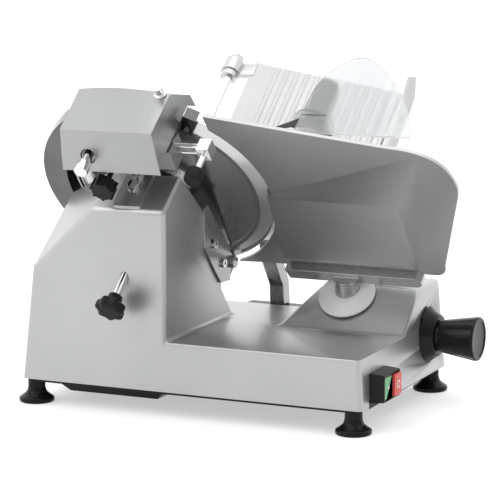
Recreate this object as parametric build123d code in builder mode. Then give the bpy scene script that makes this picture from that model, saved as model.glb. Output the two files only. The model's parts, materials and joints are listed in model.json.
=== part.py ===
from build123d import *
import os
from math import acos, atan2, cos, pi, radians, sin, sqrt, tan

# A gravity-feed deli slicer with a ten inch blade.  Millimetres, +Z up, origin on the floor
# under the middle of the machine.  +X is the operator's side, +Y the food side.

# ---------------------------------------------------------------- driving dimensions
tilt = 40                      # the feed axis rises this much from level
blade_r = 125
base_x, base_y = -31.0, -47.24  # middle of the base casting
base_left, base_right = -199.5, 202  # casting's edges at its underside, from its middle
base_front, base_back = -127.5, 127.5
base_low, base_top = 27, 81    # underside and tray level
left_draft, right_draft = 6.2, 3.4  # degrees from upright
front_draft, back_draft = 0.5, 5
wall = 5
blade_x, blade_y, blade_z = base_x - 73, base_y - 22, 235
motor_x, motor_v = -42, -119   # motor axis beside and below the blade axis
knob_y, knob_z = 77.7, 70.7    # index knob axis, from the base's middle and the floor
rail_y = 150                   # carriage guide rods behind the base
upper_rail, lower_rail = 60, 43
table_v = -100                 # carriage table's surface below the blade axis
rod_x, rod_v = -47, -98        # pusher rod, from the blade axis
post_x, post_n = -15, -26      # sharpener post
running = 0.05                 # radial clearance of a running fit

blade_centre = Vector(blade_x, blade_y, blade_z)
across = Vector(1, 0, 0)
feed = Vector(0, cos(radians(tilt)), sin(radians(tilt)))
rise = Vector(0, -sin(radians(tilt)), cos(radians(tilt)))


# ---------------------------------------------------------------- work planes
def point(x, n, v):
    """A place given across, along the feed axis and up the blade's plane."""
    return blade_centre + across * x + feed * n + rise * v


def cut_plane(n, x=0, v=0):
    """Parallel to the blade, drawn across and up, extruding to the receiving side."""
    return Plane(origin=point(x, n, v), x_dir=across, z_dir=feed * -1)


def bed_plane(v, x=0, n=0):
    """Parallel to the table, drawn across and along the feed, extruding up."""
    return Plane(origin=point(x, n, v), x_dir=across, z_dir=rise)


def cheek_plane(x, n=0, v=0):
    """Square to the cut, drawn along the feed and up, extruding to the operator."""
    return Plane(origin=point(x, n, v), x_dir=feed, z_dir=across)


def level(z, x=0, y=0):
    """Flat at a height over the floor, from the base's middle."""
    return Plane(origin=(base_x + x, base_y + y, z))


def side(x, y=0, z=0):
    """Upright, drawn along Y and Z, extruding to the operator."""
    return Plane(origin=(base_x + x, base_y + y, z), x_dir=(0, 1, 0), z_dir=(1, 0, 0))


def back(y, x=0, z=0):
    """Upright, drawn along X and Z, extruding to the front."""
    return Plane(origin=(base_x + x, base_y + y, z), x_dir=(1, 0, 0), z_dir=(0, -1, 0))


# ---------------------------------------------------------------- repeated shapes
def rod(plane, radius, length):
    """A round bar standing on a plane."""
    with BuildPart() as bar:
        with BuildSketch(plane):
            Circle(radius)
        extrude(amount=length)
    return bar.part


def tube(plane, outer, inner, length):
    """A round bar with a through bore."""
    with BuildPart() as pipe:
        with BuildSketch(plane):
            Circle(outer)
            Circle(inner, mode=Mode.SUBTRACT)
        extrude(amount=length)
    return pipe.part


def block(plane, wide, high, length, corner=0):
    """A square bar standing on a plane."""
    with BuildPart() as bar:
        with BuildSketch(plane):
            if corner:
                RectangleRounded(wide, high, corner)
            else:
                Rectangle(wide, high)
        extrude(amount=length)
    return bar.part


def slab(plane, outline, thick):
    """A flat plate with the outline given."""
    with BuildPart() as plate:
        with BuildSketch(plane):
            with BuildLine():
                Polyline(outline, close=True)
            make_face()
        extrude(amount=thick)
    return plate.part


def sector(plane, inner, outer, start, sweep, thick):
    """Part of a flat ring."""
    with BuildPart() as arc:
        with BuildSketch(plane):
            with BuildLine():
                inside = CenterArc((0, 0), inner, start, sweep)
                outside = CenterArc((0, 0), outer, start, sweep)
                Line(inside @ 0, outside @ 0)
                Line(inside @ 1, outside @ 1)
            make_face()
        extrude(amount=thick)
    return arc.part


def screw(plane, head_r, head_h, shank_r, shank_l, socket_r=0):
    """A screw whose head stands on the plane and whose shank goes down through it."""
    with BuildPart() as bolt:
        with BuildSketch(plane):
            Circle(head_r)
        extrude(amount=head_h)
        with BuildSketch(plane):
            Circle(shank_r)
        extrude(amount=-shank_l)
        if socket_r:
            with BuildSketch(plane.offset(head_h)):
                RegularPolygon(socket_r, 6)
            extrude(amount=-head_h / 2, mode=Mode.SUBTRACT)
    return bolt.part


# ---------------------------------------------------------------- base casting
section = [(48, -230), (48, 56.2), (-38.7, 56.2), (-112.7, 1.7), (-150, -230)]
profile = [(-35, 60), (-21, -10), (-20, -90), (-44, -118), (-44, -185), (-150, -300), (-320, -150), (-160, 60)]


def inset(outline, amount):
    """A closed outline moved inwards."""
    with BuildSketch() as flat:
        with BuildLine():
            Polyline(outline, close=True)
        make_face()
        if amount:
            offset(amount=-amount, kind=Kind.INTERSECTION)
    return flat.sketch


def walls(low, high, gap):
    """The four drafted outer walls between two heights."""
    with BuildPart() as body:
        for z in (low, high):
            up = z - base_low
            left = base_left + up * tan(radians(left_draft)) + gap
            right = base_right - up * tan(radians(right_draft)) - gap
            front = base_front + up * tan(radians(front_draft)) + gap
            rear = base_back - up * tan(radians(back_draft)) - gap
            with BuildSketch(level(z, (left + right) / 2, (front + rear) / 2)):
                RectangleRounded(right - left, rear - front, 6)
        loft(ruled=True)
    return body.part


def casting_solid(gap):
    """Base, tower and knob housing, each shrunk by gap for the hollow inside."""
    bottom = base_low - (1 if gap else 0)
    lower = walls(bottom, base_top - gap, gap)
    tall = walls(bottom, bottom + 245, gap)
    with BuildPart() as tower:
        with BuildSketch(cut_plane(0)):
            add(inset(section, gap))
        extrude(amount=330)
    with BuildPart() as flank:
        with BuildSketch(cheek_plane(-160)):
            add(inset(profile, gap))
        extrude(amount=260)
    with BuildPart() as hump:
        with BuildSketch(level(base_top - gap, 123.6, 63.8)):
            Rectangle(150.2 - 2 * gap, 117.4 - 2 * gap)
        with BuildSketch(level(127 - gap, 141, 88)):
            Rectangle(110 - 2 * gap, 62 - 2 * gap)
        loft(ruled=True)
        if gap:
            with BuildSketch(level(base_top - gap, 123.6, 63.8)):
                Rectangle(150.2 - 2 * gap, 117.4 - 2 * gap)
            extrude(amount=-3)
    return lower, tower.part & tall & flank.part, hump.part


outer_base, outer_tower, outer_hump = casting_solid(0)
inner_base, inner_tower, inner_hump = casting_solid(wall)
foot_spots = [(-188, -115), (188, -115), (188, 115), (-188, 115)]
slope_v = -132.5               # the knob housing's slope
neck_x, neck_n = 190, -26      # where the gauge plate's neck passes the slope
seat_n = -38                   # bearing housing's seat

with BuildPart() as base_casting:
    add(outer_base)
    add(outer_tower)
    add(outer_hump)
    add(inner_base, mode=Mode.SUBTRACT)
    add(inner_tower, mode=Mode.SUBTRACT)
    add(inner_hump, mode=Mode.SUBTRACT)
    add(rod(cut_plane(-18), 34, 20))
    add(rod(cut_plane(0), 24.6, 60), mode=Mode.SUBTRACT)
    add(rod(cut_plane(-70), 5.4, 120), mode=Mode.SUBTRACT)
    add(block(bed_plane(slope_v - 12, neck_x, neck_n - 2), 34, 54, 24, 12), mode=Mode.SUBTRACT)
    add(rod(side(170, knob_y, knob_z), 9.2, 60), mode=Mode.SUBTRACT)
    for x, y in foot_spots:
        add(rod(level(base_low, x, y), 9, 51) & outer_base)
        add(rod(level(base_low, x, y), 4.2, 30), mode=Mode.SUBTRACT)

# ---------------------------------------------------------------- underside and feet
cover_z = base_low - 3
sump_x, sump_y = -114, -38
with BuildPart() as bottom_cover:
    with BuildSketch(level(cover_z)):
        RectangleRounded(base_right - base_left - 8, base_back - base_front - 6, 6)
    extrude(amount=3)
    with BuildSketch(level(cover_z, sump_x, sump_y)):
        Rectangle(150, 100)
    with BuildSketch(level(5, sump_x, sump_y)):
        Rectangle(108, 72)
    loft(ruled=True)
    with BuildSketch(level(base_low, sump_x, sump_y)):
        Rectangle(145, 95)
    with BuildSketch(level(7.5, sump_x, sump_y)):
        Rectangle(104, 68)
    loft(ruled=True, mode=Mode.SUBTRACT)
    for x, y in foot_spots:
        add(rod(level(cover_z - 1, x, y), 10.5, 5), mode=Mode.SUBTRACT)


def foot(x, y):
    """A turned foot whose stud screws up into the base's corner."""
    with BuildPart() as leg:
        with BuildSketch(back(y, x)):
            with BuildLine():
                Polyline((0, 0), (19, 0), (19.5, 1), (19.5, 5), (18.5, 6.2), (15, 7.5))
                ThreePointArc((15, 7.5), (11, 10), (9.5, 14.5))
                Polyline((9.5, 14.5), (9.5, base_low), (4, base_low), (4, 52), (0, 52), (0, 0))
            make_face()
        revolve(axis=Axis((base_x + x, base_y + y, 0), (0, 0, 1)))
    return leg.part


with BuildPart() as feet:
    for x, y in foot_spots:
        add(foot(x, y))

# ---------------------------------------------------------------- blade drive
pulley_n, pulley_wide = -52, 12
with BuildPart() as bearing_housing:
    add(tube(cut_plane(-12), 24.5, 21, 36))
    add(tube(cut_plane(seat_n), 34, 21, 6))
with BuildPart() as shaft_bearings:
    add(tube(cut_plane(-13), 21, 10 + running, 12))
    add(tube(cut_plane(-35), 21, 10 + running, 12))
with BuildPart() as blade_shaft:
    add(tube(cut_plane(2), 12, 6.2, 4))
    add(tube(cut_plane(-2), 32, 6.2, 6))
    add(tube(cut_plane(-8), 12, 6.2, 5))
    add(tube(cut_plane(-13), 10, 6.2, 54))
with BuildPart() as blade_pulley:
    add(tube(cut_plane(pulley_n), 38, 10, pulley_wide))

blade_outline = [(12.1, -2), (104, -2), (107, -4.2), (110, -4.2), (blade_r, 0.6), (blade_r, 1), (108, 1.5)]
blade_outline += [(100, 0.5), (12.1, 0.5)]
radial = Plane(origin=blade_centre, x_dir=across, z_dir=rise)
with BuildPart() as blade:
    with BuildSketch(radial):
        with BuildLine():
            Polyline(blade_outline, close=True)
        make_face()
    revolve(axis=Axis(blade_centre, feed))
    for turn in range(0, 360, 90):
        spot = (22 * cos(radians(turn)), 22 * sin(radians(turn)))
        add(rod(cut_plane(3, spot[0], spot[1]), 2.6, 6), mode=Mode.SUBTRACT)
with BuildPart() as blade_screws:
    for turn in range(0, 360, 90):
        spot = (22 * cos(radians(turn)), 22 * sin(radians(turn)))
        add(rod(cut_plane(1.5, spot[0], spot[1]), 4.5, 1))
        add(rod(cut_plane(0.5, spot[0], spot[1]), 2.5, 8))
for turn in range(0, 360, 90):
    spot = (22 * cos(radians(turn)), 22 * sin(radians(turn)))
    blade_shaft.part -= rod(cut_plane(-1, spot[0], spot[1]), 2.6, 7)

with BuildPart() as blade_cover:
    add(tube(cut_plane(5), 99, 24, 2.5))
    add(tube(cut_plane(9), 26, 5.2, 5))
    add(sector(cut_plane(5.5), 97, 138.5, 176, 20, 2.5))
knob_reach = -172
with BuildPart() as tie_rod:
    add(rod(cut_plane(9), 5, 6))
    add(rod(cut_plane(3), 5, 3 - knob_reach - 8))
with BuildPart() as star_knob:
    with BuildSketch(cut_plane(knob_reach)):
        Circle(13)
        with PolarLocations(12, 6):
            Circle(4.5)
    extrude(amount=13)
    fillet(star_knob.edges().group_by(Axis(blade_centre, feed))[0], 1.2)
    add(rod(cut_plane(knob_reach + 10), 8, 10))
    add(rod(cut_plane(knob_reach + 11), 5, 12), mode=Mode.SUBTRACT)

motor_r = 38
with BuildPart() as motor_housing:
    add(rod(cut_plane(-74, motor_x, motor_v), motor_r, 74))
    add(rod(cut_plane(-72, motor_x, motor_v), 4 + running, 80), mode=Mode.SUBTRACT)
with BuildPart() as motor_bracket:
    add(block(cut_plane(-69, motor_x, motor_v), 88, 60, 4, 6))
    add(rod(cut_plane(-68, motor_x, motor_v), 16, 6), mode=Mode.SUBTRACT)
with BuildPart() as motor_shaft:
    add(rod(cut_plane(-50, motor_x, motor_v), 4, 94))
with BuildPart() as motor_pulley:
    add(tube(cut_plane(pulley_n, motor_x, motor_v), 11, 4, pulley_wide))
pulley_gap = sqrt(motor_x ** 2 + motor_v ** 2)
pulley_heading = atan2(motor_v, motor_x)
touch = acos((38 - 11) / pulley_gap)


def belt_loop(gap):
    """The outline round both pulleys, gap outside them."""
    big, small = 38 + gap, 11 + gap
    up, down = pulley_heading + touch, pulley_heading - touch
    corners = [(big * cos(up), big * sin(up))]
    corners += [(motor_x + small * cos(turn), motor_v + small * sin(turn)) for turn in (up, down)]
    corners += [(big * cos(down), big * sin(down))]
    with BuildSketch() as loop:
        Circle(big)
        with Locations((motor_x, motor_v)):
            Circle(small)
        with BuildLine():
            Polyline(corners, close=True)
        make_face()
    return loop.sketch


with BuildPart() as drive_belt:
    with BuildSketch(cut_plane(pulley_n - 1)):
        add(belt_loop(2.8))
        add(belt_loop(0.3), mode=Mode.SUBTRACT)
    extrude(amount=10)

# ---------------------------------------------------------------- guards round the blade
guard_r = 139
with BuildPart() as ring_guard:
    add(sector(cut_plane(-13), 112, guard_r, 122, 166, 2.5))
    add(sector(cut_plane(3), 135.5, guard_r, 122, 166, 18))
    for turn, reach in [(212, 4.6), (236, 11), (262, 28)]:
        add(rod(cut_plane(-15.5, 119 * cos(radians(turn)), 119 * sin(radians(turn))), 6, reach))
    add(sector(cut_plane(-9), 113, guard_r, 56, 7, 2.5))
    add(sector(cut_plane(3), 135.5, guard_r, 57, 6, 12))
    add(outer_tower, mode=Mode.SUBTRACT)
with BuildPart() as guard_screws:
    for turn in (60, 284):
        spot = (118 * cos(radians(turn)), 118 * sin(radians(turn)))
        depth = -11.5 if turn < 100 else -15.5
        add(screw(cut_plane(depth, spot[0], spot[1]), 4, 3, 2, 2))
    add(screw(cheek_plane(50.5, -31, -59), 5, 3, 2.8, 7, 2.2))
    add(screw(cheek_plane(50.5, -29, -93), 5, 3, 2.8, 7, 2.2))
base_casting.part -= guard_screws.part
ring_guard.part -= guard_screws.part

deflector_outline = [(-22, -12), (-13, -15), (-5, -90), (-7, -106), (-28, -123), (-46, -107), (-48, -83), (-49, -46)]
deflector_outline += [(-27, -16)]
with BuildPart() as slice_deflector:
    add(slab(cheek_plane(48), deflector_outline, 2.5))
    with BuildSketch(cheek_plane(48)):
        with Locations((-31, -57), (-29, -91)):
            SlotOverall(13, 6.2, rotation=100)
    extrude(amount=2.5, mode=Mode.SUBTRACT)
with BuildPart() as deflector_nut:
    add(rod(cheek_plane(50.5, -12, -110), 7, 5))
    add(rod(cheek_plane(48, -12, -110), 3, 5))
slice_deflector.part -= deflector_nut.part
slice_deflector.part -= guard_screws.part

# ---------------------------------------------------------------- switch and electrics
switch_y, switch_z = -78, 46.5
wall_x = 199.8
with BuildPart() as switch_housing:
    with BuildSketch(side(wall_x + 0.6, switch_y, switch_z)):
        RectangleRounded(49, 32, 3)
    extrude(amount=16, taper=6)
    with BuildSketch(side(186, switch_y, switch_z)):
        Rectangle(44, 26)
    extrude(amount=16)
    with BuildSketch(side(194, switch_y, switch_z)):
        with Locations((-10.5, 0), (10.5, 0)):
            Rectangle(20.5, 24)
    extrude(amount=30, mode=Mode.SUBTRACT)
base_casting.part -= block(side(185, switch_y, switch_z), 45, 27, 20)
base_casting.part -= block(side(wall_x + 0.6, switch_y, switch_z), 49, 32, 10)


def button(y, proud):
    """A rocker-sized push button on its plunger."""
    with BuildPart() as key:
        with BuildSketch(side(wall_x + 4, switch_y + y, switch_z)):
            RectangleRounded(19.6, 23, 1.5)
        extrude(amount=12.6 + proud)
        add(rod(side(wall_x - 3, switch_y + y, switch_z), 3, 8))
    return key.part


with BuildPart() as start_button:
    add(button(-10.5, 0))
with BuildPart() as stop_button:
    add(button(10.5, 3))
with BuildPart() as capacitor:
    add(rod(side(20, -70, 48), 15, 62))
with BuildPart() as cable_gland:
    add(tube(back(128.5, -150, 46), 9, 3.5, 12))
    add(tube(back(119.5, -150, 46), 12, 3.5, 3))
base_casting.part -= rod(back(130, -150, 46), 9, 12)

# ---------------------------------------------------------------- thickness gauge
plate_r = 128.5
with BuildPart() as gauge_plate:
    with BuildSketch(cut_plane(-2)):
        with BuildLine():
            inner_arc = CenterArc((0, 0), plate_r, -64, 114)
            Line(inner_arc @ 1, (82, 119))
            Line((82, 119), (270, 87))
            Spline((270, 87), (310, 80), (338, 60), (347, 31), (337, -6), tangents=((5.9, -1), (-1, -3)))
            Line((337, -6), (305, -99))
            ThreePointArc((305, -99), (301, -110), (290, -114))
            Line((290, -114), (86, -114))
            Line((86, -114), inner_arc @ 0)
        make_face()
    extrude(amount=4)
    add(slab(cheek_plane(122), [(-5, 0), (-18, -88), (-18, -92), (-5, -113)], 150))
neck_lean = Vector(0, -sin(radians(20)), cos(radians(20)))
neck_base = Plane(origin=point(neck_x, neck_n - 5, -146), x_dir=across, z_dir=neck_lean)
with BuildPart() as gauge_bracket:
    with BuildSketch(cut_plane(-6)):
        with BuildLine():
            Polyline((118, -108), (272, -108), (278, -113), (278, -118), (273, -122), (121, -122), close=True)
        make_face()
    extrude(amount=13)
    add(rod(neck_base, 14.3, 34))
    add(block(cut_plane(20, neck_x, -110), 40, 60, 26), mode=Mode.SUBTRACT)
    add(block(bed_plane(-170, neck_x, neck_n), 60, 80, 23.5), mode=Mode.SUBTRACT)
    add(gauge_plate.part, mode=Mode.SUBTRACT)
with BuildPart() as neck_skirt:
    with BuildSketch(bed_plane(slope_v + 0.4, neck_x, neck_n - 3)):
        Circle(32)
    extrude(amount=2)
    with BuildSketch(bed_plane(slope_v + 2.4, neck_x, neck_n - 3)):
        Circle(32)
    with BuildSketch(bed_plane(slope_v + 6.4, neck_x, neck_n - 2)):
        Circle(17)
    loft()
    add(gauge_bracket.part, mode=Mode.SUBTRACT)
cam_x = 212
knob_dy, knob_dz = base_y + knob_y - blade_y, knob_z - blade_z
cam_n = knob_dy * cos(radians(tilt)) + knob_dz * sin(radians(tilt))
cam_v = knob_dz * cos(radians(tilt)) - knob_dy * sin(radians(tilt))
cam_rate = 12 / radians(330)
cam_rest = 18
with BuildPart() as gauge_slide_block:
    with BuildSketch(cut_plane(-16, neck_x, -151)):
        Rectangle(36, 18)
    extrude(amount=32)
    for x in (-9, 9):
        add(rod(cut_plane(-10, neck_x + x, -151), 4 + running, 50), mode=Mode.SUBTRACT)
    add(gauge_bracket.part, mode=Mode.SUBTRACT)
    add(slab(cheek_plane(neck_x + 13), [(-46, -160), (-38, -160), (-49, -196), (-57, -196), (-57, -184)], 5))
    add(rod(cheek_plane(neck_x + 18, cam_n - cam_rest - 4.5, cam_v), 4, 9))
with BuildPart() as gauge_guide:
    for n in (-5, -65):
        add(block(cut_plane(n, neck_x, -151), 36, 12, 5))
    for x in (-9, 9):
        add(rod(cut_plane(-5, neck_x + x, -151), 4, 65))

with BuildPart() as cam_spindle:
    with BuildSketch(cheek_plane(cam_x, cam_n, cam_v)):
        with BuildLine():
            rim = []
            for step in range(-255, 91, 15):
                reach = cam_rest - cam_rate * radians(step)
                rim.append((reach * cos(pi + radians(step)), reach * sin(pi + radians(step))))
            Spline(rim)
            Line(rim[-1], rim[0])
        make_face()
    extrude(amount=5)
    add(rod(cheek_plane(cam_x + 5, cam_n, cam_v), 9, 250 - cam_x - blade_x + base_x - 5))
flange_x = 197.5
knob_end = 258
with BuildPart() as knob_flange:
    with BuildSketch(side(flange_x, knob_y, knob_z)):
        Circle(31)
    extrude(amount=3)
    with BuildSketch(side(flange_x + 3, knob_y, knob_z)):
        Circle(30.5)
    extrude(amount=12, taper=32)
    add(rod(side(flange_x - 5, knob_y, knob_z), 9 + running, 40), mode=Mode.SUBTRACT)
base_casting.part -= rod(side(flange_x, knob_y, knob_z), 31, 10)
with BuildPart() as index_knob:
    with BuildSketch(side(flange_x + 17.5, knob_y, knob_z)):
        Circle(18)
    with BuildSketch(side(knob_end, knob_y, knob_z)):
        Circle(25)
    loft()
    for turn in range(0, 360, 60):
        with BuildSketch(side(230, knob_y, knob_z)):
            with Locations((27 * cos(radians(turn)), 27 * sin(radians(turn)))):
                Circle(5)
        extrude(amount=40, mode=Mode.SUBTRACT)
    add(rod(side(200, knob_y, knob_z), 9, 50), mode=Mode.SUBTRACT)

# ---------------------------------------------------------------- carriage
table_left, table_right, table_near = -22, 186, 15
far_left, far_right = 291, 248
with BuildPart() as carriage_table:
    outline = [(table_left, table_near), (table_right, table_near), (table_right, far_right), (table_left, far_left)]
    add(slab(bed_plane(table_v - 5), outline, 5))
    for i in range(13):
        x = 12 + 13.6 * i
        reach = far_left - (x - table_left) / (table_right - table_left) * (far_left - far_right) - 2
        with BuildSketch(cut_plane(reach, x, table_v)):
            Polygon((-4.5, -1), (4.5, -1), (1.8, 2.5), (-1.8, 2.5), align=None)
        extrude(amount=reach - table_near - 4)
    for n in (table_near, far_left - 22):
        add(block(bed_plane(-105, -32, n + 9), 30, 18, 6))
        add(rod(cut_plane(n + 18, rod_x, rod_v), 12, 18))
        add(rod(cut_plane(n + 19, rod_x, rod_v), 6, 20), mode=Mode.SUBTRACT)
fence_outline = [(table_near, -114), (table_near, -93), (225, -92), (262, -84), (274, -95), (259, -111), (240, -114)]
with BuildPart() as carriage_fence:
    add(slab(cheek_plane(table_right), fence_outline, 4))
with BuildPart() as carriage_fasteners:
    for n in (50, 130, 210):
        add(screw(cheek_plane(table_right + 4, n, -102.5), 4, 2.5, 2, 18, 1.8))
    add(tube(cut_plane(far_left - 22, rod_x, rod_v), 10, 6, 8))
    with BuildSketch(cut_plane(far_left + 4, rod_x, rod_v)):
        RegularPolygon(9, 6)
        Circle(6, mode=Mode.SUBTRACT)
    extrude(amount=8)
carriage_table.part -= Compound(children=[rod(cheek_plane(table_right - 15, n, -102.5), 2, 16) for n in (50, 130, 210)])
carriage_fence.part -= Compound(children=[rod(cheek_plane(table_right - 1, n, -102.5), 2, 8) for n in (50, 130, 210)])

arm_x = 58


def under_table(y):
    """Height of the table's underside over a place behind the base's middle."""
    return blade_z + (table_v - 5 + (y + base_y - blade_y) * sin(radians(tilt))) / cos(radians(tilt))


arm_outline = [(148, 75), (168, 75), (164, 104), (150, 125), (142, 145), (150, under_table(150))]
arm_outline += [(96, under_table(96)), (112, 172), (121, 134), (133, 117), (146, 99)]
block_z = (upper_rail + lower_rail) / 2 + 2.5
arm_side = arm_x + blade_x - base_x
with BuildPart() as carriage_arm:
    add(slab(side(arm_side - 9), arm_outline, 18))
with BuildPart() as slide_block:
    with BuildSketch(side(arm_side - 40, rail_y + 3, block_z)):
        RectangleRounded(36, 42, 4)
    extrude(amount=80)
    for z, bore in [(upper_rail, 10), (lower_rail, 6 + running)]:
        add(rod(side(arm_side - 45, rail_y, z), bore, 90), mode=Mode.SUBTRACT)
with BuildPart() as slide_bushes:
    for x in (-40, 20):
        add(tube(side(arm_side + x, rail_y, upper_rail), 10, 7 + running, 20))
with BuildPart() as carriage_rails:
    add(rod(side(-180, rail_y, upper_rail), 7, 340))
    add(rod(side(-180, rail_y, lower_rail), 6, 340))
with BuildPart() as rail_brackets:
    for x in (-182, 150):
        add(slab(side(x), [(121, 70), (121, 30), (158, 30), (164, 36), (164, 66), (156, 73), (130, 73)], 12))
        add(rod(side(x - 1, rail_y, upper_rail), 7, 14), mode=Mode.SUBTRACT)
        add(rod(side(x - 1, rail_y, lower_rail), 6, 14), mode=Mode.SUBTRACT)
    add(outer_base, mode=Mode.SUBTRACT)
with BuildPart() as pusher_rod:
    add(rod(cut_plane(far_left + 10, rod_x, rod_v), 6, far_left + 9 - table_near))
# ---------------------------------------------------------------- pusher
pusher_n = 84
with BuildPart() as pusher_bush:
    add(tube(cut_plane(pusher_n + 34, rod_x, rod_v), 9, 6 + running, 44))
arm_path = [(rod_x - 14, rod_v), (rod_x, rod_v - 14), (rod_x + 14, rod_v), (rod_x + 14, -86), (0, -74), (60, -50)]
arm_path += [(130, -22), (160, -16), (160, 8), (126, 8), (50, -28), (-20, -62), (rod_x - 14, -84)]
with BuildPart() as pusher_arm:
    add(rod(cut_plane(pusher_n + 32, rod_x, rod_v), 13.5, 40))
    add(slab(cut_plane(pusher_n + 18), arm_path, 12))
    add(rod(cut_plane(pusher_n + 40, rod_x, rod_v), 9 + running, 60), mode=Mode.SUBTRACT)
handle_x, handle_v = 140, -5
plate_outline = [(8, -92), (162, -92), (162, -20), (150, 6), (120, 6), (8, -30)]
with BuildPart() as pusher_plate:
    add(slab(cut_plane(pusher_n + 6), plate_outline, 4))
    for x in range(18, 160, 15):
        for v in range(-84, -30, 12):
            with BuildSketch(cut_plane(pusher_n + 2, x, v)):
                Circle(3)
            extrude(amount=6, taper=22)
handle_n = pusher_n + 24
guard_v = handle_v + 15
with BuildPart() as hand_guard:
    with BuildSketch(bed_plane(guard_v)):
        with BuildLine():
            curve = Spline((129, 78), (131, 125), (142, 169), (171, 195), (219, 165), (252, 116), (266, 78))
            Line(curve @ 1, curve @ 0)
        make_face()
    extrude(amount=3)
    add(rod(cut_plane(handle_n, handle_x, handle_v), 24, 3))
with BuildPart() as pusher_stud:
    add(rod(cut_plane(handle_n + 20, handle_x, handle_v), 5, 38))
with BuildPart() as pusher_handle:
    with BuildSketch(cut_plane(handle_n + 60, handle_x, handle_v)):
        Circle(14)
    extrude(amount=60)
    fillet(pusher_handle.edges().group_by(Axis(blade_centre, feed))[-1], 7)
    add(pusher_stud.part, mode=Mode.SUBTRACT)
for piece in (hand_guard, pusher_plate):
    piece.part -= pusher_stud.part
pusher_arm.part += pusher_stud.part

# ---------------------------------------------------------------- sharpener
cover_left, cover_right = -60, 56
spindle_x, spindle_v = -25, 123
with BuildPart() as sharpener_mount:
    with BuildSketch(bed_plane(56.2, 3, -62)):
        RectangleRounded(32, 50, 3)
    extrude(amount=5)
    add(slab(cheek_plane(post_x - 12), [(-37, 56.2), (-14, 56.2), (-14, 100), (-37, 100)], 24))
    for n in (-59.5, -45):
        add(rod(bed_plane(50, 3, n), 3, 14), mode=Mode.SUBTRACT)
    add(rod(bed_plane(50, post_x, post_n), 7 + running, 55), mode=Mode.SUBTRACT)
    add(rod(cut_plane(-30, post_x, 86), 3.05, 10), mode=Mode.SUBTRACT)
with BuildPart() as mount_bolts:
    for n in (-59.5, -45):
        add(rod(bed_plane(61.2, 3, n), 7, 1.5))
        with BuildSketch(bed_plane(62.7, 3, n)):
            RegularPolygon(6.5, 6)
        extrude(amount=4.5)
        add(rod(bed_plane(50, 3, n), 3, 11.2))
base_casting.part -= mount_bolts.part
with BuildPart() as clamp_knob:
    add(rod(cut_plane(-33.4, post_x, 86), 3, 46))
    with BuildSketch(cut_plane(-77, post_x, 86)):
        Circle(11.5)
        with PolarLocations(12, 7):
            Circle(2)
    extrude(amount=15)
with BuildPart() as sharpener_post:
    add(rod(bed_plane(64, post_x, post_n), 7, 50))
body_outline = [(-66, 114), (-66, 126), (-58, 132), (-34, 132), (-20, 126), (-20, 114)]
bridge_outline = [(16, 102), (21, 102), (21, 117), (-3, 142), (-16, 147), (-46, 147), (-46, 130), (-40, 130)]
bridge_outline += [(-40, 142), (-18, 142), (-5, 137), (16, 116)]
truing_x, truing_v = 12, 108.5
with BuildPart() as sharpener_body:
    add(slab(cheek_plane(-49), body_outline, 95))
    add(slab(cheek_plane(22), [(-52, 84), (-24, 84), (-24, 115), (-52, 115)], 24))
    add(slab(cheek_plane(22), [(-52, 84), (-24, 84), (-24, 111), (-52, 111)], 36))
    add(slab(cheek_plane(4), bridge_outline, 16))
    add(rod(bed_plane(106, post_x, post_n), 12, 8))
    add(rod(bed_plane(100, post_x, post_n), 7, 14), mode=Mode.SUBTRACT)
    add(rod(cut_plane(-10, spindle_x, spindle_v), 5 + running, 70), mode=Mode.SUBTRACT)
    add(rod(cut_plane(30, truing_x, truing_v), 4 + running, 20), mode=Mode.SUBTRACT)
hood_outer = [(-79, 104.4), (-75, 122), (-70, 140), (-66.5, 154.3), (-8, 153.5), (26, 118), (28, 98.5), (15, 114)]
hood_outer += [(-75, 114)]
hood_inner = [(-77, 100), (-72, 122), (-67, 140), (-64, 151.3), (-9.3, 150.5), (23, 116.8), (25, 95), (15, 85), (-60, 85)]


def hood_front(gap):
    """The hood seen from the front: its left end leans in towards the top."""
    left, right = cover_left + gap, cover_right - gap
    outline = [(left, 80), (left, 104), (left + 10, 160), (right, 160), (right, 80)]
    return slab(cut_plane(60), outline, 160)


with BuildPart() as sharpener_cover:
    add(slab(cheek_plane(cover_left), hood_outer, cover_right - cover_left) & hood_front(0))
    add(slab(cheek_plane(cover_left), hood_inner, cover_right - cover_left) & hood_front(3), mode=Mode.SUBTRACT)
    add(rod(cut_plane(-60, spindle_x, spindle_v), 9, 30), mode=Mode.SUBTRACT)
with BuildPart() as grinding_spindle:
    add(rod(cut_plane(-8, spindle_x, spindle_v), 5, 76))
    add(rod(cut_plane(-84, spindle_x, spindle_v), 7.5, 14))
with BuildPart() as grinding_stone:
    add(tube(cut_plane(-8, spindle_x, spindle_v), 21, 5, 6))
    add(tube(cut_plane(-14, spindle_x, spindle_v), 8, 5, 4))
with BuildPart() as truing_stone:
    add(rod(cut_plane(14, truing_x, truing_v), 8.5, 6))
    add(rod(cut_plane(21.5, truing_x, truing_v), 4, 7.5))
with BuildPart() as cover_pin:
    add(rod(bed_plane(147, 46, -10), 5, 18))
    add(tube(bed_plane(154.5, 46, -10), 7, 5, 2))
sharpener_cover.part -= cover_pin.part
lever_x = 93
with BuildPart() as lever_rods:
    for v in (108, 99):
        add(rod(cheek_plane(26, -38, v), 3, 65))
sharpener_body.part -= Compound(children=[rod(cheek_plane(22, -38, v), 3 + running, 40) for v in (108, 99)])
with BuildPart() as lever_frame:
    add(slab(cheek_plane(lever_x - 7), [(-46, 95), (-30, 95), (-30, 112), (-46, 112)], 14))
    add(lever_rods.part)
    add(rod(cut_plane(-38, lever_x, 103), 4, 38))
with BuildPart() as lever_knob:
    with BuildSketch(cut_plane(-68, lever_x, 103)):
        Circle(10)
    extrude(amount=16)
    chamfer(lever_knob.edges(), 1.2)
    add(rod(cut_plane(-60, lever_x, 103), 4, 16), mode=Mode.SUBTRACT)

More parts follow.
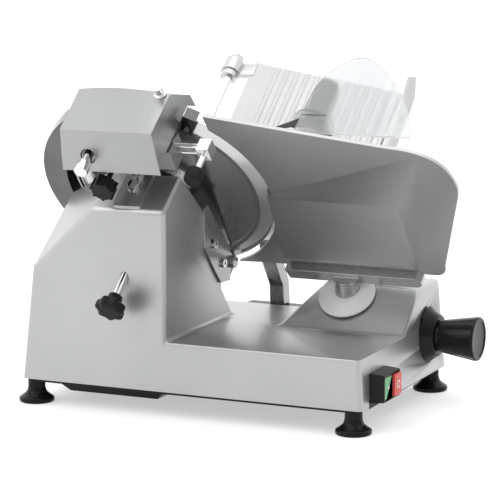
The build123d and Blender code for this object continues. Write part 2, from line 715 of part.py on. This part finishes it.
# ---------------------------------------------------------------- write the pieces
pieces = {
    "base_casting": base_casting,
    "bottom_cover": bottom_cover,
    "feet": feet,
    "bearing_housing": bearing_housing,
    "shaft_bearings": shaft_bearings,
    "blade_shaft": blade_shaft,
    "blade_pulley": blade_pulley,
    "blade": blade,
    "blade_screws": blade_screws,
    "blade_cover": blade_cover,
    "tie_rod": tie_rod,
    "star_knob": star_knob,
    "motor_housing": motor_housing,
    "motor_bracket": motor_bracket,
    "motor_shaft": motor_shaft,
    "motor_pulley": motor_pulley,
    "drive_belt": drive_belt,
    "ring_guard": ring_guard,
    "guard_screws": guard_screws,
    "slice_deflector": slice_deflector,
    "deflector_nut": deflector_nut,
    "switch_housing": switch_housing,
    "start_button": start_button,
    "stop_button": stop_button,
    "capacitor": capacitor,
    "cable_gland": cable_gland,
    "gauge_plate": gauge_plate,
    "gauge_bracket": gauge_bracket,
    "neck_skirt": neck_skirt,
    "gauge_slide_block": gauge_slide_block,
    "gauge_guide": gauge_guide,
    "cam_spindle": cam_spindle,
    "knob_flange": knob_flange,
    "index_knob": index_knob,
    "carriage_table": carriage_table,
    "carriage_fence": carriage_fence,
    "carriage_fasteners": carriage_fasteners,
    "carriage_arm": carriage_arm,
    "slide_block": slide_block,
    "slide_bushes": slide_bushes,
    "carriage_rails": carriage_rails,
    "rail_brackets": rail_brackets,
    "pusher_rod": pusher_rod,
    "pusher_bush": pusher_bush,
    "pusher_arm": pusher_arm,
    "pusher_plate": pusher_plate,
    "hand_guard": hand_guard,
    "pusher_handle": pusher_handle,
    "sharpener_mount": sharpener_mount,
    "mount_bolts": mount_bolts,
    "clamp_knob": clamp_knob,
    "sharpener_post": sharpener_post,
    "sharpener_body": sharpener_body,
    "sharpener_cover": sharpener_cover,
    "grinding_spindle": grinding_spindle,
    "grinding_stone": grinding_stone,
    "truing_stone": truing_stone,
    "cover_pin": cover_pin,
    "lever_frame": lever_frame,
    "lever_knob": lever_knob,
}
os.makedirs("parts", exist_ok=True)
for name, piece in pieces.items():
    piece.part.label = name
    export_step(piece.part, f"parts/{name}.step")
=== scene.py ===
import json
from math import atan2, cos, pi, radians, sin

import bmesh
import bpy
from mathutils import Matrix, Vector


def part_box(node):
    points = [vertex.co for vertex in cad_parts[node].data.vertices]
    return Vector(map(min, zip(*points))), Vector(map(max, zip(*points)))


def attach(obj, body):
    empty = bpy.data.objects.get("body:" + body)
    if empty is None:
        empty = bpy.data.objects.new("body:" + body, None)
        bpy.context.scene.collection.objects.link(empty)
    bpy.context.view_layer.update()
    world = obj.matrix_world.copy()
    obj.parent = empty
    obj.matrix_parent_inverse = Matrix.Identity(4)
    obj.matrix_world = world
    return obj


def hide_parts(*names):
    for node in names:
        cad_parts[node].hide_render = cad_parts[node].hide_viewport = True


# A gravity-feed deli slicer, dressed over its mechanical frame.  Metres, +Z up.
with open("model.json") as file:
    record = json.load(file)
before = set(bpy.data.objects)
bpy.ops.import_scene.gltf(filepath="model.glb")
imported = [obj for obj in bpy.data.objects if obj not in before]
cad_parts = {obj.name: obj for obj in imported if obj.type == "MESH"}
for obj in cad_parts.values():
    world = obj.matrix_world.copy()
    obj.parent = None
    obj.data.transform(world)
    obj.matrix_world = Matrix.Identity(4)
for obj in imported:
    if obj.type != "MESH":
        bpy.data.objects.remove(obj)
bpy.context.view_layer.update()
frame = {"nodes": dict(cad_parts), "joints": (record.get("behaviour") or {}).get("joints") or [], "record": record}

# ---------------------------------------------------------------- places taken from the frame
mm = 0.001
joints = {joint["name"]: joint for joint in frame["joints"]}
hub = Vector(joints["blade_spin"]["pos_m"])
feed = Vector(joints["blade_spin"]["axis"])
rise = Vector(joints["sharpener_lift"]["axis"])
across = Vector((1, 0, 0))
up = Vector((0, 0, 1))
base_low, base_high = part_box("base_casting")
base_mid = (base_low + base_high) / 2


def spot(x, n, v):
    """A place in millimetres across, along the feed axis and up the blade's plane."""
    return hub + (across * x + feed * n + rise * v) * mm


def turned_to(origin, axis, start):
    """The matrix whose Z is the axis and whose X is start, standing at origin."""
    side = axis.cross(start).normalized()
    columns = Matrix((start.normalized(), side, axis.normalized())).transposed()
    return Matrix.Translation(origin) @ columns.to_4x4()


# ---------------------------------------------------------------- materials
def shader(name):
    """A new node material with its Principled shader and its Object coordinates."""
    material = bpy.data.materials.new(name)
    material.use_nodes = True
    tree = material.node_tree
    principled = tree.nodes["Principled BSDF"]
    places = tree.nodes.new("ShaderNodeTexCoord")
    return material, tree, principled, places.outputs["Object"]


def speckle(tree, places, scale, detail=4, stretch=(1, 1, 1), turn=0.0):
    """Noise over the piece, stretched into a grain and turned about X."""
    mapping = tree.nodes.new("ShaderNodeMapping")
    mapping.inputs["Scale"].default_value = stretch
    mapping.inputs["Rotation"].default_value = (turn, 0, 0)
    texture = tree.nodes.new("ShaderNodeTexNoise")
    texture.inputs["Scale"].default_value = scale
    texture.inputs["Detail"].default_value = detail
    tree.links.new(places, mapping.inputs["Vector"])
    tree.links.new(mapping.outputs["Vector"], texture.inputs["Vector"])
    return texture.outputs["Fac"]


def spread(tree, factor, low, high):
    """The noise brought between two numbers."""
    ramp = tree.nodes.new("ShaderNodeMapRange")
    ramp.inputs["From Min"].default_value = 0.3
    ramp.inputs["From Max"].default_value = 0.7
    ramp.inputs["To Min"].default_value = low
    ramp.inputs["To Max"].default_value = high
    tree.links.new(factor, ramp.inputs["Value"])
    return ramp.outputs["Result"]


def tint(tree, factor, dark, light):
    """The noise brought between two colours."""
    mix = tree.nodes.new("ShaderNodeMix")
    mix.data_type = "RGBA"
    mix.inputs["A"].default_value = (*dark, 1)
    mix.inputs["B"].default_value = (*light, 1)
    tree.links.new(factor, mix.inputs["Factor"])
    return mix.outputs["Result"]


def relief(tree, principled, factor, height):
    """Fine bumps that follow the noise, height in metres."""
    bump = tree.nodes.new("ShaderNodeBump")
    bump.inputs["Strength"].default_value = 0.2
    bump.inputs["Distance"].default_value = height
    tree.links.new(factor, bump.inputs["Height"])
    tree.links.new(bump.outputs["Normal"], principled.inputs["Normal"])


def finish_coat(
    name, dark, light, rough, metallic, grain=400, stretch=(1, 1, 1), turn=0.0, height=2e-5, coat=0.0
):
    """A surface whose gloss and fine relief vary with one grain, and its colour with a broader one."""
    material, tree, principled, places = shader(name)
    fine = speckle(tree, places, grain, 5, stretch, turn)
    broad = speckle(tree, places, 9, 3)
    tree.links.new(tint(tree, spread(tree, broad, 0, 1), dark, light), principled.inputs["Base Color"])
    tree.links.new(spread(tree, fine, *rough), principled.inputs["Roughness"])
    relief(tree, principled, fine, height)
    principled.inputs["Metallic"].default_value = metallic
    principled.inputs["Specular IOR Level"].default_value = 0.5 if metallic else 0.14
    principled.inputs["Coat Weight"].default_value = coat
    principled.inputs["Coat Roughness"].default_value = 0.06
    return material


def clear_sheet(name):
    """Clear moulded plastic with a faint haze."""
    material, tree, principled, places = shader(name)
    haze = speckle(tree, places, 60, 3)
    tree.links.new(spread(tree, haze, 0.02, 0.09), principled.inputs["Roughness"])
    tree.links.new(tint(tree, haze, (0.72, 0.74, 0.75), (0.80, 0.82, 0.83)), principled.inputs["Base Color"])
    principled.inputs["Transmission Weight"].default_value = 0.8
    principled.inputs["IOR"].default_value = 1.4
    principled.inputs["Alpha"].default_value = 0.75
    return material


TILT = atan2(feed.z, feed.y)
casting_paint = finish_coat(
    "satin_casting", (0.41, 0.414, 0.418), (0.44, 0.444, 0.448), (0.34, 0.38),
    0.85, 900, height=3e-6, coat=0.12
)
plate_grey = finish_coat(
    "anodised_plate", (0.44, 0.44, 0.445), (0.47, 0.47, 0.475), (0.28, 0.31),
    0.9, 500, (0.04, 1, 1), TILT, 4e-7
)
hood_silver = finish_coat(
    "hood_silver", (0.35, 0.354, 0.358), (0.38, 0.384, 0.388), (0.28, 0.32),
    0.9, 700, (0.05, 1, 1), TILT, 6e-7
)
table_silver = finish_coat(
    "table_silver", (0.50, 0.50, 0.505), (0.55, 0.55, 0.555), (0.24, 0.28),
    0.9, 600, (1, 0.04, 0.04), TILT, 1e-6
)
bar_grey = finish_coat(
    "satin_bar", (0.42, 0.42, 0.425), (0.47, 0.47, 0.475), (0.26, 0.30),
    0.9, 600, (0.05, 1, 1), TILT, 1e-6
)
frosted = finish_coat(
    "frosted_skirt", (0.66, 0.665, 0.67), (0.72, 0.725, 0.73), (0.36, 0.44),
    0.1, 900, height=2e-6
)
mirror_steel = finish_coat(
    "mirror_steel", (0.62, 0.62, 0.62), (0.66, 0.66, 0.66), (0.16, 0.22),
    1.0, 200, height=4e-7
)
chrome = finish_coat("chrome", (0.72, 0.72, 0.72), (0.80, 0.80, 0.80), (0.05, 0.10), 1.0, 300, height=2e-6)
steel = finish_coat(
    "drawn_steel", (0.50, 0.50, 0.50), (0.60, 0.60, 0.60), (0.22, 0.30),
    1.0, 600, (1, 0.1, 0.1), TILT, 1e-6
)
ring_steel = finish_coat(
    "ring_steel", (0.10, 0.10, 0.105), (0.15, 0.15, 0.155), (0.16, 0.22),
    0.95, 400, height=4e-7
)
dark_steel = finish_coat(
    "dark_steel", (0.34, 0.34, 0.34), (0.40, 0.40, 0.40), (0.25, 0.34),
    0.85, 500, height=2e-6
)
cast_grey = finish_coat(
    "rough_casting", (0.24, 0.24, 0.24), (0.36, 0.36, 0.36), (0.35, 0.55),
    0.9, 700, height=6e-5
)
black_plastic = finish_coat(
    "black_plastic", (0.006, 0.006, 0.006), (0.010, 0.010, 0.010), (0.14, 0.20),
    0.0, 700, height=4e-6
)
matt_black = finish_coat(
    "matt_black", (0.008, 0.008, 0.008), (0.014, 0.014, 0.014), (0.28, 0.38),
    0.0, 900, height=1e-5
)
foot_rubber = finish_coat(
    "foot_rubber", (0.005, 0.005, 0.005), (0.010, 0.010, 0.010), (0.16, 0.24),
    0.0, 700, height=5e-6
)
green_plastic = finish_coat("green_plastic", (0.13, 0.35, 0.18), (0.17, 0.40, 0.22), (0.25, 0.35), 0.0, 900)
red_plastic = finish_coat("red_plastic", (0.55, 0.07, 0.07), (0.62, 0.10, 0.09), (0.25, 0.35), 0.0, 900)
mark_white = finish_coat("mark_white", (0.72, 0.66, 0.64), (0.80, 0.76, 0.74), (0.4, 0.5), 0.0, 900)
white_plastic = finish_coat("white_plastic", (0.75, 0.75, 0.74), (0.82, 0.82, 0.81), (0.28, 0.40), 0.0, 900)
grey_plastic = finish_coat("grey_plastic", (0.30, 0.30, 0.30), (0.36, 0.36, 0.36), (0.40, 0.55), 0.0, 900)
motor_paint = finish_coat(
    "motor_paint", (0.08, 0.085, 0.10), (0.11, 0.115, 0.13), (0.30, 0.45),
    0.0, 500, height=4e-5
)
belt_rubber = finish_coat(
    "belt_rubber", (0.012, 0.012, 0.012), (0.022, 0.022, 0.022), (0.55, 0.70),
    0.0, 800, height=4e-5
)
bronze = finish_coat("bronze", (0.42, 0.27, 0.11), (0.52, 0.35, 0.16), (0.30, 0.45), 1.0, 800, height=2e-5)
stone = finish_coat(
    "grinding_stone", (0.36, 0.33, 0.30), (0.50, 0.46, 0.42), (0.75, 0.90),
    0.0, 1500, height=1.5e-4
)
clear_plastic = clear_sheet("clear_plastic")

node_materials = {
    "bearing_housing": cast_grey, "shaft_bearings": steel, "blade_shaft": steel, "blade_pulley": cast_grey,
    "blade_screws": steel, "motor_housing": motor_paint, "motor_bracket": steel, "motor_shaft": steel,
    "motor_pulley": cast_grey, "drive_belt": belt_rubber, "guard_screws": steel, "capacitor": grey_plastic,
    "cable_gland": matt_black, "gauge_slide_block": cast_grey, "gauge_guide": steel, "cam_spindle": steel,
    "slide_bushes": bronze, "carriage_rails": chrome, "pusher_rod": chrome, "pusher_bush": white_plastic,
    "sharpener_post": chrome, "grinding_stone": stone, "truing_stone": stone, "tie_rod": chrome,
    "carriage_fasteners": steel,
}
for node, material in node_materials.items():
    mesh = frame["nodes"][node].data
    mesh.materials.clear()
    mesh.materials.append(material)


# ---------------------------------------------------------------- making pieces
FLAT, SHARP = 1, 28  # degrees: merged into one face below the first, rounded above the second
bodies = frame["record"]["behaviour"]["bodies"]
body_of_node = {node: body for body, nodes in bodies.items() for node in nodes}


def piece(bm, name, material, node, stands_for=True, sharp=32):
    """Turns a bmesh into a finished piece that rides with a node's body, and stands for that node."""
    bmesh.ops.recalc_face_normals(bm, faces=bm.faces)
    mesh = bpy.data.meshes.new(name)
    bm.to_mesh(mesh)
    bm.free()
    for face in mesh.polygons:
        face.use_smooth = True
    mesh.set_sharp_from_angle(angle=radians(sharp))
    mesh.materials.append(material)
    made = bpy.data.objects.new(name, mesh)
    bpy.context.scene.collection.objects.link(made)
    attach(made, body_of_node[node])
    if stands_for:
        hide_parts(node)
    return made


def copied(node):
    """A bmesh of a node's surface with its triangles merged into whole faces."""
    bm = bmesh.new()
    bm.from_mesh(frame["nodes"][node].data)
    bmesh.ops.remove_doubles(bm, verts=bm.verts, dist=1e-6)
    bmesh.ops.dissolve_limit(
        bm, angle_limit=radians(FLAT), verts=bm.verts, edges=bm.edges, delimit={"NORMAL"}
    )
    return bm


def round_edges(made, width, segments):
    """A live bevel on a piece's sharp edges, its width in millimetres."""
    rounding = made.modifiers.new("rounding", "BEVEL")
    rounding.width = width * mm
    rounding.segments = segments
    rounding.limit_method = "ANGLE"
    rounding.angle_limit = radians(SHARP)
    rounding.harden_normals = True


def softened(node, name, material, width, segments=3):
    """A node's own shape with its sharp edges rounded."""
    round_edges(piece(copied(node), name, material, node), width, segments)


def turned(bm, profile, matrix, steps=72):
    """Spins a profile of radius and height in millimetres about the matrix's Z."""
    verts = [bm.verts.new(matrix @ Vector((radius * mm, 0, height * mm))) for radius, height in profile]
    edges = [bm.edges.new(pair) for pair in zip(verts, verts[1:])]
    axis = matrix.to_3x3() @ up
    bmesh.ops.spin(
        bm, geom=verts + edges, cent=matrix.translation, axis=axis, angle=2 * pi, steps=steps, use_merge=True
    )
    bmesh.ops.remove_doubles(bm, verts=bm.verts, dist=1e-6)


def rounded(corners, radius, steps=4):
    """A profile whose inner corners are replaced by short arcs."""
    smooth = [corners[0]]
    for before, corner, after in zip(corners, corners[1:], corners[2:]):
        corner = Vector(corner)
        entry, leave = Vector(before) - corner, Vector(after) - corner
        reach = min(radius, entry.length * 0.45, leave.length * 0.45)
        first, last = corner + entry.normalized() * reach, corner + leave.normalized() * reach
        for step in range(steps + 1):
            t = step / steps
            smooth.append(tuple(first * (1 - t) ** 2 + corner * 2 * t * (1 - t) + last * t ** 2))
    return smooth + [corners[-1]]


# ---------------------------------------------------------------- base casting and what it stands on
def make_casting():
    """The hollow casting with its long outer edges rounded and its hump filleted into the deck.

    The deck edges along the back and right rims stay sharp, because the hump's walls meet the rims there.
    """
    bm = copied("base_casting")
    long_edge, corner = 16 * mm, radians(14)
    underside, deck = base_low.z + 2 * mm, 81 * mm
    rim_back, rim_right = 115 * mm, 190 * mm
    chosen = []
    for edge in bm.edges:
        if len(edge.link_faces) != 2 or edge.calc_length() < long_edge or edge.calc_face_angle(0) < corner:
            continue
        heights = [vert.co.z for vert in edge.verts]
        on_deck = max(abs(height - deck) for height in heights) < 0.3 * mm
        by_rim = min(vert.co.y for vert in edge.verts) > base_mid.y + rim_back
        by_rim = by_rim or min(vert.co.x for vert in edge.verts) > base_mid.x + rim_right
        if min(heights) > underside and (edge.is_convex or on_deck) and not (on_deck and by_rim):
            chosen.append(edge)
    bmesh.ops.bevel(
        bm, geom=chosen, offset=4.5 * mm, segments=5, profile=0.5,
        affect="EDGES", clamp_overlap=False, material=-1
    )
    return piece(bm, "casting_shell", casting_paint, "base_casting", sharp=40)


def make_feet():
    """Four turned feet with a dished collar."""
    bm = bmesh.new()
    low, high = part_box("feet")
    reach = 19.5 * mm
    outline = [(0, 0), (18.2, 0), (19.5, 1.4), (19.5, 5.2), (16, 7.2), (11.2, 11), (9.5, 16), (9.5, 27)]
    profile = rounded(outline, 2)
    for x in (low.x + reach, high.x - reach):
        for y in (low.y + reach, high.y - reach):
            turned(bm, profile + [(4, 27), (4, 52), (0, 52)], Matrix.Translation((x, y, 0)), 64)
    return piece(bm, "turned_feet", foot_rubber, "feet")


make_casting()
make_feet()
softened("bottom_cover", "underside_cover", matt_black, 1.2)

# ---------------------------------------------------------------- blade and guards
blade_axis = turned_to(hub, feed, across)


def make_blade():
    """The hollow-ground disc with its polished rim."""
    bm = bmesh.new()
    outline = [(12.1, -2), (60, -2.6), (98, -2.2), (104, -2), (106, -3.6), (110, -4.2), (124.7, 0.5)]
    outline += [(125, 0.8), (124.6, 1), (108, 1.5), (100, 0.5), (12.1, 0.5), (12.1, -2)]
    turned(bm, rounded(outline, 1.2, 3), blade_axis, 192)
    return piece(bm, "hollow_ground_blade", mirror_steel, "blade", sharp=50)


make_blade()
softened("ring_guard", "blade_ring", ring_steel, 0.6, 2)
softened("blade_cover", "blade_face_cover", bar_grey, 0.8, 2)
softened("slice_deflector", "slice_deflector_plate", dark_steel, 0.5, 2)
softened("deflector_nut", "deflector_thumb_nut", dark_steel, 0.6, 2)

# ---------------------------------------------------------------- tie rod and its knob
def make_star_knob():
    """A seven-lobed knob on a short neck."""
    bm = bmesh.new()
    matrix = turned_to(spot(0, -185, 0), feed, across)
    profile = [(0, 0), (11, 0), (15.4, 2.5), (15.4, 10.5), (11.5, 13.4), (8.4, 14), (8, 23), (5, 23)]
    turned(bm, rounded(profile, 2.2), matrix, 98)
    inverse = matrix.inverted()
    neck, shoulder, lobes, depth = 9, 5, 7, 1.3
    for vert in bm.verts:
        place = inverse @ vert.co
        outer = place.xy.length / mm
        if outer > neck:
            lobe = depth * cos(lobes * atan2(place.y, place.x)) * min(1, (outer - neck) / shoulder)
            place.xy *= (outer + lobe) / outer
            vert.co = matrix @ place
    return piece(bm, "tie_rod_star_knob", matt_black, "star_knob")


make_star_knob()

# ---------------------------------------------------------------- switch
softened("switch_housing", "switch_box", matt_black, 1.0)
softened("start_button", "start_key_cap", green_plastic, 1.0)
softened("stop_button", "stop_key_cap", red_plastic, 1.0)


def make_key_marks():
    """A moulded ring on the stop key and a round dot on the start key."""
    for node, name, profile in (
        ("stop_button", "stop_key_ring", [(3.2, -0.3), (3.2, 0.3), (4.4, 0.3), (4.4, -0.3), (3.2, -0.3)]),
        ("start_button", "start_key_dot", [(0, 0.3), (1.6, 0.3), (1.6, -0.3), (0, -0.3)]),
    ):
        bm = bmesh.new()
        low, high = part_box(node)
        middle = (low + high) / 2
        turned(bm, profile, turned_to(Vector((high.x, middle.y, middle.z)), across, up), 48)
        piece(bm, name, mark_white, node, stands_for=False)


make_key_marks()

# ---------------------------------------------------------------- thickness gauge
softened("gauge_plate", "thickness_plate", plate_grey, 0.8)
softened("gauge_bracket", "plate_support_bar", bar_grey, 1.2)
softened("neck_skirt", "neck_seal_skirt", frosted, 0.9)


def make_index_knob():
    """The tapered thickness knob with long shallow flutes."""
    bm = bmesh.new()
    low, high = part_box("index_knob")
    middle = (low + high) / 2
    matrix = turned_to(Vector((low.x, middle.y, middle.z)), across, Vector((0, 1, 0)))
    length = (high.x - low.x) / mm
    profile = [(9, 0), (18, 0), (18.4, 3), (24.4, length - 3), (24, length), (20.5, length)]
    profile += [(19.6, length - 1.2), (0, length - 1.2)]
    turned(bm, rounded(profile, 1.2), matrix, 120)
    inverse = matrix.inverted()
    core, end, flutes, ridge, depth = 15, 0.97, 6, 0.55, 0.055
    for vert in bm.verts:
        place = inverse @ vert.co
        outer, along = place.xy.length / mm, place.z / mm / length
        if outer > core and along < end:
            flute = max(0.0, cos(flutes * atan2(place.y, place.x)) - ridge) / (1 - ridge)
            place.xy *= 1 - depth * flute * max(0.0, along - 0.15)
            vert.co = matrix @ place
    return piece(bm, "thickness_knob", black_plastic, "index_knob")


def make_knob_flange():
    """The black collar between the casting and the knob."""
    bm = bmesh.new()
    low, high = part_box("knob_flange")
    middle = (low + high) / 2
    matrix = turned_to(Vector((low.x, middle.y, middle.z)), across, Vector((0, 1, 0)))
    profile = [(9.1, 0), (31, 0), (31, 3), (27, 7.5), (22.5, 15), (9.1, 15), (9.1, 0)]
    turned(bm, rounded(profile, 1.8), matrix, 96)
    return piece(bm, "knob_collar", black_plastic, "knob_flange")


make_index_knob()
make_knob_flange()

# ---------------------------------------------------------------- carriage and pusher
softened("carriage_table", "ribbed_table", table_silver, 0.9, 3)
softened("carriage_fence", "table_fence", plate_grey, 0.8)
softened("carriage_arm", "carriage_support_arm", dark_steel, 2.0)
softened("slide_block", "carriage_slide_housing", matt_black, 1.0)
softened("rail_brackets", "rail_end_brackets", cast_grey, 1.5)
softened("pusher_arm", "pusher_swing_arm", matt_black, 1.5)
softened("pusher_plate", "toothed_pusher_plate", table_silver, 0.5, 2)
softened("hand_guard", "clear_hand_guard", clear_plastic, 0.6, 2)


def make_pusher_handle():
    """The round glossy hand grip."""
    bm = bmesh.new()
    matrix = turned_to(spot(140, 108, -5), feed, across)
    profile = [(5.1, 0), (13.2, 0), (14, 1.2), (14, 50), (12.5, 56), (8, 59.4), (0, 60)]
    turned(bm, rounded(profile, 4), matrix, 64)
    return piece(bm, "pusher_grip", black_plastic, "pusher_handle")


make_pusher_handle()

# ---------------------------------------------------------------- sharpener
# Painted light: the sharpener bracket takes the brighter table finish so that it reads lighter where it sits in
# shade.
softened("sharpener_mount", "sharpener_bracket", table_silver, 1.0)
softened("mount_bolts", "bracket_bolts", chrome, 0.5, 2)
softened("sharpener_body", "sharpener_frame", cast_grey, 1.0)
softened("grinding_spindle", "grinding_spindle_bar", chrome, 0.8)
softened("cover_pin", "hood_pin", chrome, 0.8)
softened("lever_frame", "truing_lever", chrome, 0.8)


def make_hood():
    """The hood with its top crowned across the machine and its edges rounded."""
    bm = copied("sharpener_cover")
    low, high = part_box("sharpener_cover")
    middle, half = (low.x + high.x) / 2, (high.x - low.x) / 2
    cuts = 12
    for step in range(1, cuts):
        cut = Vector((low.x + 2 * half * step / cuts, 0, 0))
        whole = bm.verts[:] + bm.edges[:] + bm.faces[:]
        bmesh.ops.bisect_plane(bm, geom=whole, dist=1e-7, plane_co=cut, plane_no=across)
    front, crest, rear = -64, -8, 26
    crown, under_top = 6, 118
    for vert in bm.verts:
        n = (vert.co - hub).dot(feed) / mm
        v = (vert.co - hub).dot(rise) / mm
        along = (n - front) / (crest - front) if n < crest else (rear - n) / (rear - crest)
        share = max(0.0, along) * (1 - ((vert.co.x - middle) / half) ** 2)
        if v > under_top:
            vert.co += rise * crown * mm * share
    round_edges(piece(bm, "sharpener_hood", hood_silver, "sharpener_cover"), 2.4, 4)


make_hood()


def make_round_knob(name, node, place, radius, length, flutes, depth):
    """A small black knob with a fluted rim and a dished end."""
    bm = bmesh.new()
    matrix = turned_to(place, feed, across)
    profile = [(0, 1.2), (radius - 3.2, 1.2), (radius - 2.2, 0), (radius, 1.4), (radius, length - 1.6)]
    profile += [(radius - 1.8, length), (3.1, length)]
    turned(bm, rounded(profile, 0.9, 3), matrix, flutes * 6)
    inverse = matrix.inverted()
    for vert in bm.verts:
        spoke = inverse @ vert.co
        if spoke.xy.length > (radius - 1) * mm:
            spoke.xy *= 1 - depth / radius * (0.5 + 0.5 * cos(flutes * atan2(spoke.y, spoke.x)))
            vert.co = matrix @ spoke
    return piece(bm, name, matt_black, node)


make_round_knob("lever_round_knob", "lever_knob", spot(93, -84, 103), 10, 16, 16, 0.5)
softened("clamp_knob", "clamp_round_knob", matt_black, 0.8)

# ---------------------------------------------------------------- floor, light and camera
def make_floor():
    """A wide pale floor."""
    bm = bmesh.new()
    bmesh.ops.create_grid(bm, x_segments=2, y_segments=2, size=60)
    mesh = bpy.data.meshes.new("pale_floor")
    bm.to_mesh(mesh)
    bm.free()
    material, tree, principled, places = shader("pale_floor")
    tone = speckle(tree, places, 3, 2)
    tree.links.new(tint(tree, tone, (0.56, 0.56, 0.56), (0.58, 0.58, 0.58)), principled.inputs["Base Color"])
    principled.inputs["Roughness"].default_value = 0.9
    principled.inputs["Emission Color"].default_value = (1, 1, 1, 1)
    principled.inputs["Emission Strength"].default_value = 0.48
    mesh.materials.append(material)
    floor = bpy.data.objects.new("pale_floor", mesh)
    bpy.context.scene.collection.objects.link(floor)


def make_sky():
    """A bright studio that falls off towards the operator's side."""
    world = bpy.data.worlds.new("studio")
    world.use_nodes = True
    bpy.context.scene.world = world
    tree = world.node_tree
    background = tree.nodes["Background"]
    direction = tree.nodes.new("ShaderNodeTexCoord")
    dot = tree.nodes.new("ShaderNodeVectorMath")
    dot.operation = "DOT_PRODUCT"
    dot.inputs[1].default_value = (0.70, -0.60, -0.38)
    ramp = tree.nodes.new("ShaderNodeValToRGB")
    stops = ramp.color_ramp.elements
    stops[0].position, stops[0].color = 0.0, (1.0, 1.0, 1.0, 1)
    stops[1].position, stops[1].color = 0.9, (0.33, 0.33, 0.33, 1)
    middle = stops.new(0.45)
    middle.color = (0.50, 0.50, 0.50, 1)
    tree.links.new(direction.outputs["Generated"], dot.inputs[0])
    tree.links.new(dot.outputs["Value"], ramp.inputs["Fac"])
    tree.links.new(ramp.outputs["Color"], background.inputs["Color"])
    background.inputs["Strength"].default_value = 1.5


def softbox(name, place, size, power):
    """A rectangular area light aimed at the middle of the slicer."""
    light = bpy.data.lights.new(name, "AREA")
    light.shape = "RECTANGLE"
    light.size, light.size_y = size
    light.energy = power
    lamp = bpy.data.objects.new(name, light)
    bpy.context.scene.collection.objects.link(lamp)
    aim = Vector((0, 0, 180 * mm)) - Vector(place)
    lamp.rotation_mode = "QUATERNION"
    lamp.rotation_quaternion = aim.to_track_quat("-Z", "Y")
    lamp.location = place


def make_camera():
    """A long lens a little to the operator's side and a little above."""
    azimuth, elevation, distance = radians(24.3), radians(9.5), 2.75
    target = Vector((base_mid.x + 16.5 * mm, base_mid.y, 165 * mm))
    looks = Vector((-sin(azimuth) * cos(elevation), cos(azimuth) * cos(elevation), -sin(elevation)))
    lens = bpy.data.cameras.new("camera")
    lens.lens, lens.sensor_width = 180, 36
    camera = bpy.data.objects.new("camera", lens)
    bpy.context.scene.collection.objects.link(camera)
    camera.location = target - looks * distance
    camera.rotation_mode = "QUATERNION"
    camera.rotation_quaternion = looks.to_track_quat("-Z", "Y")
    bpy.context.scene.camera = camera


make_floor()
make_sky()
softbox("key", (-1.4, -2.2, 2.0), (1.6, 1.2), 10)
softbox("top", (0.2, 0.2, 2.4), (1.8, 1.8), 6)
make_camera()
bpy.context.scene.view_settings.view_transform = "Standard"
